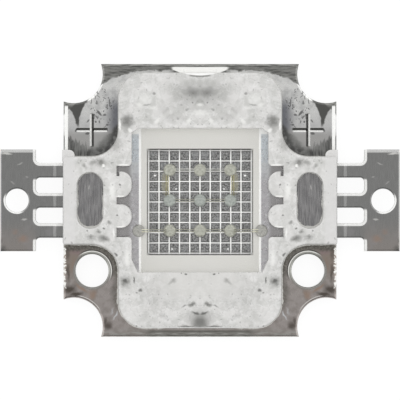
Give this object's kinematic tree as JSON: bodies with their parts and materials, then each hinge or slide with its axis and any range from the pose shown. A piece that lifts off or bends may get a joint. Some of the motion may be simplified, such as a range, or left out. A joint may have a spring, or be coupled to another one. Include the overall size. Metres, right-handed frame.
{
  "type": "high-power led",
  "caption": "Chip-on-board power LED: a notched metal base plate under a white moulded housing, with bare dies in a gridded pit and a flat slotted lead on each side.",
  "frame": {"origin": "under the middle of the base plate, on the surface that it rests on", "axes": "+X along the leads, +Z out of the light-giving side, +Y towards the plus marks"},
  "size_m": [0.0292, 0.02, 0.0032],
  "materials": {
    "plate_plating": "bright nickel and silver plating on copper, lightly pitted",
    "housing_plastic": "matt white moulded thermoplastic, slightly soiled",
    "lead_plating": "silver plating on rolled copper strip, fine grain",
    "clear_silicone": "water-clear silicone, glossy and flat",
    "die": "polished chip",
    "die_adhesive": "cured adhesive",
    "drop_silicone": "cloudy grey-green silicone",
    "bond_gold": "fine drawn gold wire"
  },
  "bodies": {
    "root": {"base_plate": "plate_plating", "housing": "housing_plastic", "lead_left": "lead_plating", "lead_right": "lead_plating", "encapsulant": "clear_silicone", "die_upper_left": "die", "die_upper_centre": "die", "die_upper_right": "die", "die_middle_left": "die", "die_middle_centre": "die", "die_middle_right": "die", "die_lower_left": "die", "die_lower_centre": "die", "die_lower_right": "die", "die_attach_upper_left": "die_adhesive", "die_attach_upper_centre": "die_adhesive", "die_attach_upper_right": "die_adhesive", "die_attach_middle_left": "die_adhesive", "die_attach_middle_centre": "die_adhesive", "die_attach_middle_right": "die_adhesive", "die_attach_lower_left": "die_adhesive", "die_attach_lower_centre": "die_adhesive", "die_attach_lower_right": "die_adhesive", "drop_upper_left": "drop_silicone", "drop_upper_centre": "drop_silicone", "drop_upper_right": "drop_silicone", "drop_middle_left": "drop_silicone", "drop_middle_centre": "drop_silicone", "drop_middle_right": "drop_silicone", "drop_lower_left": "drop_silicone", "drop_lower_centre": "drop_silicone", "drop_lower_right": "drop_silicone", "drop_lead_left": "drop_silicone", "drop_lead_right": "drop_silicone", "wires_lead_left_to_lower_left": "bond_gold", "wires_lower_left_to_lower_centre": "bond_gold", "wires_lower_centre_to_lower_right": "bond_gold", "wires_lower_right_to_lead_right": "bond_gold", "wires_middle_left_to_middle_centre": "bond_gold", "wires_middle_centre_to_middle_right": "bond_gold", "wires_upper_left_to_upper_centre": "bond_gold", "wires_upper_centre_to_upper_right": "bond_gold", "wires_upper_left_to_middle_left": "bond_gold", "wires_upper_right_to_middle_right": "bond_gold"}
  },
  "joints": []
}
